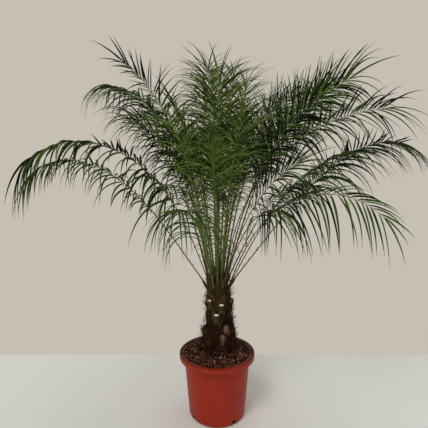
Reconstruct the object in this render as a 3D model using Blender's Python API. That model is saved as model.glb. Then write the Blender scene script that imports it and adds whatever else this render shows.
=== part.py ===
"""Pygmy date palm in a round nursery pot: pot, soil, trunk with cut leaf bases, and arching fronds.

Metres, +Z up. The origin is the centre of the pot's flat underside; -Y is the front.
"""

import math

import bmesh
import bpy
from mathutils import Vector

# ---------------------------------------------------------------- driving sizes
GAP = 0.0003                 # clearance kept between touching pieces

# pot: a thin moulded shell with a wide turned-down collar
POT_H = 0.2007
POT_BASE_R = 0.0892
POT_NECK_R = 0.1046          # body radius right under the collar
POT_RIM_R = 0.1200
POT_SKIRT = 0.0144           # height of the collar's outer band
POT_WALL = 0.0018
POT_FLOOR = 0.0030
POT_CORNER = 0.0130          # rounding between wall and underside
POT_SEGMENTS = 48
SLOT_COUNT = 4               # drain slots through the lower corner
SLOT_FIRST = 35.0
SLOT_WIDTH = 0.0120
SLOT_HEIGHT = 0.0180

# soil: filled to the collar, mounded up to the trunk
SOIL_EDGE_Z = 0.1985
SOIL_TOP_Z = 0.2150
SOIL_FLAT_R = 0.0600

# trunk: stands a little to the right of the pot's axis
TRUNK_X = 0.0055
TRUNK_FOOT_Z = SOIL_TOP_Z + GAP
TRUNK_TOP_Z = 0.4050
TRUNK_SIDES = 24
TRUNK_PROFILE = (            # height, radius: root flare, waist, crown shaft
    (TRUNK_FOOT_Z, 0.0560),
    (0.2350, 0.0550),
    (0.2550, 0.0530),
    (0.2720, 0.0490),
    (0.2900, 0.0440),
    (0.3150, 0.0410),
    (0.3400, 0.0385),
    (0.3700, 0.0370),
    (TRUNK_TOP_Z, 0.0360),
)

# cut leaf bases ("boots"), one per step of the same leaf spiral as the fronds
SPIRAL = 137.5               # degrees from each leaf to the next
BOOT_FIRST = 259.6           # degrees round the trunk, at step 0
BOOT_CUTS = (                # step on the spiral, height of the cut
    (0, 0.3370), (1, 0.3400), (4, 0.3540), (5, 0.3780), (6, 0.3730), (7, 0.3620), (8, 0.3680),
)
BOOT_LENGTH = 0.0300
BOOT_WIDTH = 0.0150
BOOT_THICK = 0.0090
BOOT_LEAN = 4.0              # degrees that its inner face stands off the trunk

# fronds: number 1 is the oldest and lowest, the last is the youngest
FROND_COUNT = 36
FROND_BASE_Z = TRUNK_TOP_Z + GAP
FROND_RING_R = 0.0325        # the oldest petiole's distance from the trunk's axis
PETIOLE_W = 0.0086           # petiole across and through, at the trunk
PETIOLE_T = 0.0060
RACHIS_W = 0.0046            # where the leaflets begin
RACHIS_T = 0.0040
TIP_W = 0.0016
BLADE_T = 0.0022             # blade thickness at the midrib
EDGE_T = 0.0010              # and at its edges
BLADE_START = 0.37           # share of the frond that is bare petiole
TWIST_END = 0.45             # share of the frond by which its own twist is complete
PETIOLE_STEPS = 3
BLADE_STEPS = 10
SPLIT_TURN = 95.0            # a frond that turns further than this, and is longer than
SPLIT_LENGTH = 0.60          # this, is split in two at its bend
SPLIT_GAP = 0.0006           # between the two halves

# sizes by age, oldest to youngest
RISE = (50.0, 87.0)          # degrees above level, where the frond leaves the trunk
END = (-65.0, 75.0)          # degrees above level, at the tip
END_POWER = 2.2              # only the youngest fronds stay upright to the tip
BEND = (2.8, 1.9)            # how late the frond bends: 1 is an even arc
LENGTH = (0.80, 0.78)
MIDDLE_LENGTH = 0.90         # the fronds in between are the longest
HALF_WIDTH = (0.084, 0.044)  # widest half width of the blade
FOLD = (30.0, 8.0)           # degrees that each half of the blade hangs below level

# fronds whose own shape can be read from the front, by number
OWN_SHAPE = {
    1: dict(turn=120.0, rise=58.0, end=-64.0, length=0.62),
    2: dict(name="front_right_low", turn=305.0, rise=62.0, end=-76.0, bend=3.6, length=0.49, start=0.60, fold=30.0),
    3: dict(turn=36.0, rise=57.0, end=-45.0, length=0.62, start=0.46, fold=30.0),
    4: dict(name="left_low", turn=177.0, rise=55.0, end=-96.0, bend=3.2, length=0.87, twist=-20.0, start=0.34, fold=34.0),
    5: dict(name="right_low", turn=322.0, rise=67.0, end=-71.0, bend=1.9, length=0.725, twist=40.0, fold=22.0),
    6: dict(rise=60.0),
    7: dict(name="front_left_low", turn=247.0, rise=68.0, end=-75.0, bend=3.0, length=0.49, start=0.34, fold=44.0),
    8: dict(name="right_arch", turn=8.0, rise=51.0, end=-45.0, bend=3.8, length=0.88, twist=8.0, fold=30.0),
    9: dict(turn=174.0, rise=76.0, end=14.0, bend=2.6, length=0.70, twist=-20.0),
    10: dict(turn=320.0, rise=73.0, end=8.0, bend=2.0, length=0.58, twist=50.0, start=0.48),
    11: dict(turn=70.0, rise=66.0, end=-45.0, length=0.80),
    12: dict(turn=186.0, rise=80.0, end=16.0, bend=2.4, length=0.70, twist=-30.0, start=0.42),
    13: dict(turn=350.0, rise=63.0, end=-14.0, bend=2.6, length=0.70, start=0.33, fold=44.0),
    14: dict(turn=112.0, rise=70.0, end=-30.0, length=0.82),
    15: dict(name="front_mid", turn=264.0, rise=77.0, end=18.0, length=0.60, start=0.33, half_width=0.052),
    16: dict(turn=24.0, rise=73.0, end=20.0, bend=2.0, length=0.92, twist=30.0, start=0.42),
    17: dict(name="left_arch", turn=189.0, rise=70.0, end=-90.0, bend=2.3, length=0.94, twist=-15.0, start=0.31, fold=30.0),
    18: dict(turn=330.0, rise=78.0, end=22.0, bend=1.9, length=0.78, twist=60.0, start=0.44),
    20: dict(name="front_left", turn=229.0, rise=75.0, end=44.0, bend=3.5, length=0.65, fold=20.0, half_width=0.052),
    21: dict(name="right_mid", turn=350.0, rise=87.0, end=-10.0, bend=1.25, length=0.91, twist=40.0, start=0.42, fold=14.0),
    22: dict(name="left_high", turn=158.0, rise=76.0, end=-19.0, bend=2.9, length=0.93, twist=-15.0, fold=28.0),
    23: dict(turn=290.0, rise=80.0, end=44.0, length=0.66),
    24: dict(turn=62.0, rise=81.0, end=52.0, length=0.81),
    25: dict(turn=204.0, rise=82.0, end=38.0, length=0.66, twist=-30.0, start=0.42),
    26: dict(name="right_high", turn=338.5, rise=79.0, end=17.0, bend=1.65, length=0.86, twist=68.0, start=0.42, fold=6.0),
    27: dict(name="back_top", turn=98.0, end=58.0, length=0.88),
    28: dict(turn=272.0, rise=85.0, end=55.0, length=0.74),
    29: dict(end=17.0, twist=40.0, start=0.42),
    30: dict(name="left_upright", turn=167.0, rise=77.0, end=6.5, bend=3.3, length=0.94, twist=-65.0, fold=8.0),
    31: dict(turn=308.0, rise=83.0, end=50.0, length=0.64, start=0.33),
    32: dict(name="top_right", turn=64.0, rise=85.0, end=72.0, bend=1.5, length=0.81),
    33: dict(turn=210.0, rise=84.0, end=50.0, length=0.70, twist=-20.0),
    34: dict(rise=84.0, end=42.0, length=0.74, twist=40.0, start=0.42),
    35: dict(name="top_left", turn=116.0, rise=86.0, end=79.0, bend=1.9, length=0.81),
    36: dict(end=72.0, length=0.76),
}


# ---------------------------------------------------------------- helpers
def clear_scene():
    for item in list(bpy.data.objects):
        bpy.data.objects.remove(item, do_unlink=True)


def material(name, colour, roughness, metallic=0.0):
    mat = bpy.data.materials.new(name)
    mat.use_nodes = True
    shader = mat.node_tree.nodes["Principled BSDF"]
    shader.inputs["Base Color"].default_value = (*colour, 1.0)
    shader.inputs["Roughness"].default_value = roughness
    shader.inputs["Metallic"].default_value = metallic
    return mat


def add_object(name, verts, faces, mat, smooth=None):
    mesh = bpy.data.meshes.new(name)
    mesh.from_pydata([tuple(v) for v in verts], [], faces)
    mesh.materials.append(mat)
    bm = bmesh.new()
    bm.from_mesh(mesh)
    bmesh.ops.recalc_face_normals(bm, faces=bm.faces)
    bm.to_mesh(mesh)
    bm.free()
    if smooth is not None:
        mesh.shade_smooth()
        mesh.set_sharp_from_angle(angle=math.radians(smooth))
    obj = bpy.data.objects.new(name, mesh)
    bpy.context.scene.collection.objects.link(obj)
    return obj


def turned(profile, sides):
    """Rings of vertices round Z for each (radius, height), joined, with a single point on the axis."""
    verts, rings, faces = [], [], []
    for radius, height in profile:
        if radius <= 0.0:
            verts.append((0.0, 0.0, height))
            rings.append([len(verts) - 1])
        else:
            ring = []
            for i in range(sides):
                a = 2.0 * math.pi * i / sides
                verts.append((radius * math.cos(a), radius * math.sin(a), height))
                ring.append(len(verts) - 1)
            rings.append(ring)
    for low, high in zip(rings[:-1], rings[1:]):
        for i in range(sides):
            j = (i + 1) % sides
            if len(low) == 1:
                faces.append((low[0], high[i], high[j]))
            elif len(high) == 1:
                faces.append((low[i], low[j], high[0]))
            else:
                faces.append((low[i], low[j], high[j], high[i]))
    return verts, faces


def lerp(pair, t):
    return pair[0] + (pair[1] - pair[0]) * t


# ---------------------------------------------------------------- pot and soil
def wall_radius(z):
    """Outer radius of the pot's straight wall at height z."""
    low, high = POT_CORNER, POT_H - POT_SKIRT
    return POT_BASE_R + (POT_NECK_R - POT_BASE_R) * (z - low) / (high - low)


def make_pot(mat):
    corner = [
        (POT_BASE_R - POT_CORNER + POT_CORNER * math.sin(a), POT_CORNER - POT_CORNER * math.cos(a))
        for a in (math.radians(d) for d in (0, 18, 36, 54, 72, 90))
    ]
    lip = 0.0020
    neck = wall_radius(POT_H - lip)
    profile = [(0.0, 0.0)] + corner
    profile += [
        (neck, POT_H - lip),                                  # up the body, under the collar
        (POT_RIM_R - lip, POT_H - lip),
        (POT_RIM_R - lip, POT_H - POT_SKIRT),                 # inside of the turned-down band
        (POT_RIM_R, POT_H - POT_SKIRT),
        (POT_RIM_R, POT_H - 0.0018),
        (POT_RIM_R - 0.0018, POT_H),
        (neck - POT_WALL + 0.0012, POT_H),
        (neck - POT_WALL, POT_H - 0.0012),
    ]
    inner_corner = POT_CORNER - POT_WALL
    for d in (90, 60, 30, 0):
        a = math.radians(d)
        profile.append((
            POT_BASE_R - POT_CORNER + inner_corner * math.sin(a),
            POT_FLOOR + inner_corner - inner_corner * math.cos(a),
        ))
    profile.append((0.0, POT_FLOOR))
    verts, faces = turned(profile, POT_SEGMENTS)
    pot = add_object("pot", verts, faces, mat, smooth=35)

    cutters = []
    for k in range(SLOT_COUNT):
        a = math.radians(SLOT_FIRST + 360.0 / SLOT_COUNT * k)
        bm = bmesh.new()
        bmesh.ops.create_cube(bm, size=1.0)
        mesh = bpy.data.meshes.new("slot_cutter")
        for v in bm.verts:
            x = POT_BASE_R + 0.001 + v.co.x * 0.018
            y = v.co.y * SLOT_WIDTH
            z = (v.co.z + 0.5) * (SLOT_HEIGHT + 0.002) - 0.002
            v.co = (x * math.cos(a) - y * math.sin(a), x * math.sin(a) + y * math.cos(a), z)
        bm.to_mesh(mesh)
        bm.free()
        cutter = bpy.data.objects.new("slot_cutter_%d" % (k + 1), mesh)
        bpy.context.scene.collection.objects.link(cutter)
        cutter.hide_render = True
        cutter.display_type = "WIRE"
        cutters.append(cutter)
    for cutter in cutters:
        cut = pot.modifiers.new("drain_slot", "BOOLEAN")
        cut.operation = "DIFFERENCE"
        cut.object = cutter
    return pot


def make_soil(mat):
    inner_corner = POT_CORNER - POT_WALL
    profile = [(0.0, POT_FLOOR + GAP)]
    for d in (0, 30, 60, 90):
        a = math.radians(d)
        profile.append((
            POT_BASE_R - POT_CORNER + (inner_corner - 2 * GAP) * math.sin(a),
            POT_FLOOR + GAP + inner_corner - inner_corner * math.cos(a),
        ))
    edge = wall_radius(SOIL_EDGE_Z) - POT_WALL - 3 * GAP
    profile.append((edge, SOIL_EDGE_Z))
    for t in (0.33, 0.66, 1.0):
        r = edge + (SOIL_FLAT_R - edge) * t
        profile.append((r, SOIL_EDGE_Z + (SOIL_TOP_Z - SOIL_EDGE_Z) * (1 - math.cos(math.pi * t)) / 2))
    profile.append((0.0, SOIL_TOP_Z))
    verts, faces = turned(profile, 36)
    return add_object("soil", verts, faces, mat, smooth=35)


# ---------------------------------------------------------------- trunk
def make_trunk(mat):
    verts, faces = [], []
    rows = []
    for n, (z, radius) in enumerate(TRUNK_PROFILE):
        ring = []
        for i in range(TRUNK_SIDES):
            a = 2.0 * math.pi * i / TRUNK_SIDES
            # shallow lobes of the leaf bases, winding up the trunk
            lobe = 0.0012 * math.cos(5 * a + 60.0 * z) if 0 < n < len(TRUNK_PROFILE) - 1 else 0.0
            r = radius + lobe
            verts.append((TRUNK_X + r * math.cos(a), r * math.sin(a), z))
            ring.append(len(verts) - 1)
        rows.append(ring)
    for low, high in zip(rows[:-1], rows[1:]):
        for i in range(TRUNK_SIDES):
            j = (i + 1) % TRUNK_SIDES
            faces.append((low[i], low[j], high[j], high[i]))
    faces.append(tuple(reversed(rows[0])))
    faces.append(tuple(rows[-1]))
    return add_object("trunk", verts, faces, mat, smooth=50)


def trunk_radius(z):
    for (z0, r0), (z1, r1) in zip(TRUNK_PROFILE[:-1], TRUNK_PROFILE[1:]):
        if z <= z1:
            return r0 + (r1 - r0) * (z - z0) / (z1 - z0)
    return TRUNK_PROFILE[-1][1]


def make_boot(number, step, top, mat):
    """A short flat stub of a cut frond, lying against the trunk and leaning out, its top cut level."""
    a = math.radians(BOOT_FIRST + SPIRAL * step)
    foot = top - BOOT_LENGTH
    clear = 0.0012 + 2 * GAP                         # past the lobes of the trunk
    out = Vector((math.cos(a), math.sin(a), 0.0))
    side = Vector((-math.sin(a), math.cos(a), 0.0))
    lean = math.tan(math.radians(BOOT_LEAN))
    levels = (                                       # height, width, thickness
        (foot, BOOT_WIDTH * 1.25, BOOT_THICK * 0.35),
        (foot + BOOT_LENGTH * 0.5, BOOT_WIDTH * 1.1, BOOT_THICK * 0.8),
        (top, BOOT_WIDTH, BOOT_THICK),
    )
    verts = []
    for z, width, thick in levels:
        inner = trunk_radius(z) + clear + (z - foot) * lean
        for depth, half in ((0.0, width / 2), (thick * 0.7, width / 2 * 0.86), (thick, width / 4)):
            verts.append((z, inner + depth, half))
    rows, points = [], []
    for n in range(3):
        ring = []
        for z, r, half in verts[n * 3:(n + 1) * 3]:
            points.append(out * r + side * half + Vector((TRUNK_X, 0.0, z)))
            ring.append(len(points) - 1)
        for z, r, half in reversed(verts[n * 3:(n + 1) * 3]):
            points.append(out * r - side * half + Vector((TRUNK_X, 0.0, z)))
            ring.append(len(points) - 1)
        rows.append(ring)
    faces = []
    for low, high in zip(rows[:-1], rows[1:]):
        for i in range(6):
            j = (i + 1) % 6
            faces.append((low[i], low[j], high[j], high[i]))
    faces.append(tuple(reversed(rows[0])))
    faces.append(tuple(rows[-1]))
    return add_object("leaf_base_%d" % number, points, faces, mat)


# ---------------------------------------------------------------- fronds
def frond_sizes(number):
    """Every size of one frond: by its age, then its own shape where that is known."""
    age = (number - 1) / (FROND_COUNT - 1)
    sizes = dict(
        name="%02d" % number,
        seat=SPIRAL * number % 360.0,
        rise=lerp(RISE, age ** 0.9),
        end=lerp(END, age ** END_POWER),
        bend=lerp(BEND, age),
        length=lerp(LENGTH, age) + (MIDDLE_LENGTH - sum(LENGTH) / 2) * math.sin(math.pi * age),
        half_width=lerp(HALF_WIDTH, age),
        fold=lerp(FOLD, age),
        start=BLADE_START,
        twist=0.0,
        seat_r=FROND_RING_R * math.sqrt(1.0 - (number - 0.5) / FROND_COUNT),
    )
    sizes["turn"] = sizes["seat"]
    sizes.update(OWN_SHAPE.get(number, {}))
    return sizes


def centre_line(f, count=160):
    """Points and directions along the middle of a frond, from its seat on the trunk to its tip."""
    seat = math.radians(f["seat"])
    point = Vector((TRUNK_X + f["seat_r"] * math.cos(seat), f["seat_r"] * math.sin(seat), FROND_BASE_Z))
    points, directions, step = [point.copy()], [], f["length"] / count
    for i in range(count + 1):
        s = i / count
        up = math.radians(f["rise"] + (f["end"] - f["rise"]) * s ** f["bend"])
        turn = math.radians(f["turn"])
        directions.append(Vector((math.cos(up) * math.cos(turn), math.cos(up) * math.sin(turn), math.sin(up))))
    for a, b in zip(directions[:-1], directions[1:]):
        point = point + (a + b) * (0.5 * step)
        points.append(point.copy())
    return points, directions


def blade_half_width(f, s):
    """Half width of the leaf blade at share s of the frond."""
    t = (s - f["start"]) / (1.0 - f["start"])
    if t <= 0.0:
        return 0.0
    grow = min(1.0, t / 0.42) ** 0.85
    close = (1.0 - t ** 3.2) ** 0.75
    return f["half_width"] * grow * close


def stations(f):
    """Shares of the length where the frond has a cross-section, closer together round the bend."""
    start = f["start"]
    rows = [start * i / PETIOLE_STEPS for i in range(PETIOLE_STEPS)]
    rows += [start + (1.0 - start) * i / BLADE_STEPS for i in range(BLADE_STEPS + 1)]
    return rows


def section(f, points, directions, s, level=False):
    """Six points round the frond at share s: two at the ridge, two at each edge."""
    count = len(directions) - 1
    x = s * count
    i = min(int(x), count - 1)
    frac = x - i
    centre = points[i].lerp(points[i + 1], frac)
    along = directions[i].lerp(directions[i + 1], frac).normalized()
    turn = math.radians(f["turn"])
    side = Vector((-math.sin(turn), math.cos(turn), 0.0))
    side = (side - along * side.dot(along)).normalized()
    up = along.cross(side)
    roll = math.radians(f["twist"] * min(1.0, s / TWIST_END))
    side, up = side * math.cos(roll) + up * math.sin(roll), up * math.cos(roll) - side * math.sin(roll)
    wide = blade_half_width(f, s)
    bare = min(1.0, s / f["start"])
    stalk_w = PETIOLE_W + (RACHIS_W - PETIOLE_W) * bare
    stalk_t = PETIOLE_T + (RACHIS_T - PETIOLE_T) * bare
    if s > f["start"]:
        t = (s - f["start"]) / (1.0 - f["start"])
        stalk_w = RACHIS_W + (TIP_W - RACHIS_W) * t
        stalk_t = RACHIS_T + (BLADE_T - RACHIS_T) * min(1.0, t * 3.0)
    half = max(wide, stalk_w / 2)
    open_part = min(1.0, wide / 0.02)
    fold = math.radians(f["fold"]) * open_part
    edge_t = EDGE_T * open_part + stalk_t * 0.5 * (1.0 - open_part)
    out, drop = half * math.cos(fold), half * math.sin(fold)
    ring = [
        centre + up * (stalk_t / 2),
        centre + side * out + up * (edge_t / 2 - drop),
        centre + side * out - up * (edge_t / 2 + drop),
        centre - up * (stalk_t / 2),
        centre - side * out - up * (edge_t / 2 + drop),
        centre - side * out + up * (edge_t / 2 - drop),
    ]
    if level:
        # the foot of the petiole is cut level, where it sits on the trunk
        base = points[0].z
        ring = [p + along * ((base - p.z) / along.z) for p in ring]
    return ring


def loft(rings):
    verts = [p for ring in rings for p in ring]
    n = len(rings[0])
    faces = []
    for k in range(len(rings) - 1):
        for i in range(n):
            j = (i + 1) % n
            faces.append((k * n + i, k * n + j, (k + 1) * n + j, (k + 1) * n + i))
    faces.append(tuple(reversed(range(n))))
    faces.append(tuple(range((len(rings) - 1) * n, len(rings) * n)))
    return verts, faces


def split_share(f):
    """Where a long frond that turns through more than a right angle is split, or None."""
    if f["rise"] - f["end"] < SPLIT_TURN or f["length"] < SPLIT_LENGTH:
        return None
    level = 0.5 * (f["rise"] + f["end"])
    return max(0.45, min(0.86, ((f["rise"] - level) / (f["rise"] - f["end"])) ** (1.0 / f["bend"])))


def make_frond(number, mats):
    f = frond_sizes(number)
    points, directions = centre_line(f)
    rows = stations(f)
    split = split_share(f)
    made = []
    if split is None:
        parts = [("frond_" + f["name"], rows)]
    else:
        half_gap = SPLIT_GAP / 2 / f["length"]
        lower = [s for s in rows if s < split - 0.025] + [split - half_gap]
        upper = [split + half_gap] + [s for s in rows if s > split + 0.025]
        parts = [("frond_" + f["name"], lower), ("frond_" + f["name"] + "_tip", upper)]
    for name, shares in parts:
        rings = [section(f, points, directions, s, level=(s == 0.0)) for s in shares]
        verts, faces = loft(rings)
        made.append(add_object(name, verts, faces, mats[number % len(mats)]))
    return made


def main():
    clear_scene()
    plastic = material("pot_plastic", (0.23, 0.026, 0.013), 0.42)
    earth = material("soil", (0.035, 0.018, 0.010), 0.95)
    fibre = material("trunk_fibre", (0.055, 0.034, 0.018), 0.90)
    boot = material("leaf_base", (0.16, 0.12, 0.07), 0.75)
    greens = [
        material("leaf_dark", (0.030, 0.075, 0.022), 0.50),
        material("leaf_mid", (0.045, 0.100, 0.026), 0.48),
        material("leaf_light", (0.075, 0.130, 0.035), 0.48),
    ]
    make_pot(plastic)
    make_soil(earth)
    make_trunk(fibre)
    for number, (step, top) in enumerate(BOOT_CUTS, 1):
        make_boot(number, step, top, boot)
    for number in range(1, FROND_COUNT + 1):
        make_frond(number, greens)


main()
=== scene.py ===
"""Looks of the pygmy date palm in its nursery pot: fine meshes, materials, light and camera.

Metres, +Z up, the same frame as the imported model. The origin is the centre of the pot's
underside, and the camera stands on the -Y side.
"""

import math

import bpy
import numpy as np
from mathutils import Matrix, Vector, noise


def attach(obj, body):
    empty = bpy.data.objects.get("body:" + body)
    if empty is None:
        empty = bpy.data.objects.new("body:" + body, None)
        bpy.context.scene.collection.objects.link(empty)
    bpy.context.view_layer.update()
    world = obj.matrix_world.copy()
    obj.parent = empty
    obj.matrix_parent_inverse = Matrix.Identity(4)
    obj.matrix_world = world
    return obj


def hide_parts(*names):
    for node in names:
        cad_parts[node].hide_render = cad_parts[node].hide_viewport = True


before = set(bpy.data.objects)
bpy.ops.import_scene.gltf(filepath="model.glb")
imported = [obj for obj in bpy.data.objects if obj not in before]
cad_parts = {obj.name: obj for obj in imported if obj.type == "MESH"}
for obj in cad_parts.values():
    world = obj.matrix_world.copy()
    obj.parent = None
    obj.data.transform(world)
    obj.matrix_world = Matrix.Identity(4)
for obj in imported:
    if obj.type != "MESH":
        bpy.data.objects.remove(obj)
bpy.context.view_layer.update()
rng = np.random.default_rng(41)

# ---------------------------------------------------------------- sizes shared with the CAD model
POT_H = 0.2007
POT_BASE_R = 0.0892
POT_NECK_R = 0.1046
POT_RIM_R = 0.1200
POT_SKIRT = 0.0144
POT_WALL = 0.0018
POT_FLOOR = 0.0030
POT_CORNER = 0.0130
SLOT_COUNT, SLOT_FIRST, SLOT_WIDTH, SLOT_HEIGHT = 4, 35.0, 0.0120, 0.0180
SOIL_EDGE_Z, SOIL_TOP_Z, SOIL_FLAT_R = 0.1985, 0.2150, 0.0600
TRUNK_X = 0.0055
TRUNK_TOP_Z = 0.4050
TRUNK_PROFILE = (
    (0.2150, 0.0560), (0.2350, 0.0550), (0.2550, 0.0530), (0.2720, 0.0490), (0.2900, 0.0440),
    (0.3150, 0.0410), (0.3400, 0.0385), (0.3700, 0.0370), (0.4050, 0.0360),
)
SPIRAL = 137.5
BOOT_FIRST = 259.6
BOOT_CUTS = ((0, 0.3370), (1, 0.3400), (4, 0.3540), (5, 0.3780), (6, 0.3730), (7, 0.3620), (8, 0.3680))
BOOT_LENGTH, BOOT_WIDTH, BOOT_THICK = 0.0300, 0.0150, 0.0090

FROND_COUNT = 36
FROND_BASE_Z = 0.4053
FROND_RING_R = 0.0325
BLADE_START = 0.37
TWIST_END = 0.45
RISE, END, END_POWER = (50.0, 87.0), (-65.0, 75.0), 2.2
BEND, LENGTH, MIDDLE_LENGTH = (2.8, 1.9), (0.80, 0.78), 0.90
OWN_SHAPE = {
    1: dict(turn=120.0, rise=58.0, end=-64.0, length=0.62),
    2: dict(name="front_right_low", turn=305.0, rise=62.0, end=-76.0, bend=3.6, length=0.49, start=0.60),
    3: dict(turn=36.0, rise=57.0, end=-45.0, length=0.62, start=0.46),
    4: dict(name="left_low", turn=177.0, rise=55.0, end=-96.0, bend=3.2, length=0.87, twist=-20.0, start=0.34),
    5: dict(name="right_low", turn=322.0, rise=67.0, end=-71.0, bend=1.9, length=0.725, twist=40.0),
    6: dict(rise=60.0),
    7: dict(name="front_left_low", turn=247.0, rise=68.0, end=-75.0, bend=3.0, length=0.49, start=0.34),
    8: dict(name="right_arch", turn=8.0, rise=51.0, end=-45.0, bend=3.8, length=0.88, twist=8.0),
    9: dict(turn=174.0, rise=76.0, end=14.0, bend=2.6, length=0.70, twist=-20.0),
    10: dict(turn=320.0, rise=73.0, end=8.0, bend=2.0, length=0.58, twist=50.0, start=0.48),
    11: dict(turn=70.0, rise=66.0, end=-45.0, length=0.80),
    12: dict(turn=186.0, rise=80.0, end=16.0, bend=2.4, length=0.70, twist=-30.0, start=0.42),
    13: dict(turn=350.0, rise=63.0, end=-14.0, bend=2.6, length=0.70, start=0.33),
    14: dict(turn=112.0, rise=70.0, end=-30.0, length=0.82),
    15: dict(name="front_mid", turn=264.0, rise=77.0, end=18.0, length=0.60, start=0.33),
    16: dict(turn=24.0, rise=73.0, end=20.0, bend=2.0, length=0.92, twist=30.0, start=0.42),
    17: dict(name="left_arch", turn=189.0, rise=70.0, end=-90.0, bend=2.3, length=0.94, twist=-15.0, start=0.31),
    18: dict(turn=330.0, rise=78.0, end=22.0, bend=1.9, length=0.78, twist=60.0, start=0.44),
    20: dict(name="front_left", turn=229.0, rise=75.0, end=44.0, bend=3.5, length=0.65),
    21: dict(name="right_mid", turn=350.0, rise=87.0, end=-10.0, bend=1.25, length=0.91, twist=40.0, start=0.42),
    22: dict(name="left_high", turn=158.0, rise=76.0, end=-19.0, bend=2.9, length=0.93, twist=-15.0),
    23: dict(turn=290.0, rise=80.0, end=44.0, length=0.66),
    24: dict(turn=62.0, rise=81.0, end=52.0, length=0.81),
    25: dict(turn=204.0, rise=82.0, end=38.0, length=0.66, twist=-30.0, start=0.42),
    26: dict(name="right_high", turn=338.5, rise=79.0, end=17.0, bend=1.65, length=0.86, twist=68.0, start=0.42),
    27: dict(name="back_top", turn=98.0, end=58.0, length=0.88),
    28: dict(turn=272.0, rise=85.0, end=55.0, length=0.74),
    29: dict(end=17.0, twist=40.0, start=0.42),
    30: dict(name="left_upright", turn=167.0, rise=77.0, end=6.5, bend=3.3, length=0.94, twist=-65.0),
    31: dict(turn=308.0, rise=83.0, end=50.0, length=0.64, start=0.33),
    32: dict(name="top_right", turn=64.0, rise=85.0, end=72.0, bend=1.5, length=0.81),
    33: dict(turn=210.0, rise=84.0, end=50.0, length=0.70, twist=-20.0),
    34: dict(rise=84.0, end=42.0, length=0.74, twist=40.0, start=0.42),
    35: dict(name="top_left", turn=116.0, rise=86.0, end=79.0, bend=1.9, length=0.81),
    36: dict(end=72.0, length=0.76),
}

# ---------------------------------------------------------------- leaflets
LEAFLET_PITCH = 0.0080       # between leaflets on one side of the rib
LEAFLET_STEPS = 10
LEAFLET_L = (0.165, 0.150)   # longest leaflet, oldest and youngest frond
LEAFLET_W = (0.0074, 0.0060)
LIFT = (4.0, 20.0)           # degrees that the leaflets stand up out of the frond's plane
DROOP = (2.5, 0.95)          # how strongly their own weight bends them down
OPEN_ANGLE = (68.0, 42.0)    # degrees between leaflet and rib, low on the blade
TIP_ANGLE = 24.0             # and at the rib's end
TIP_REACH = (0.075, 0.110)   # the last leaflets carry the frond this far past its rib

# shares of deep, mid, fresh and blue-green leaflets on the oldest and on the youngest fronds
BROWN_RIBS = (2, 3, 4, 5, 8, 10, 13, 17, 18, 21, 26)
SHADES_OUTER = np.array((0.60, 0.31, 0.00, 0.09))
SHADES_PALE = np.array((0.22, 0.46, 0.00, 0.32))
SHADES_INNER = np.array((0.24, 0.22, 0.50, 0.04))

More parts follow.
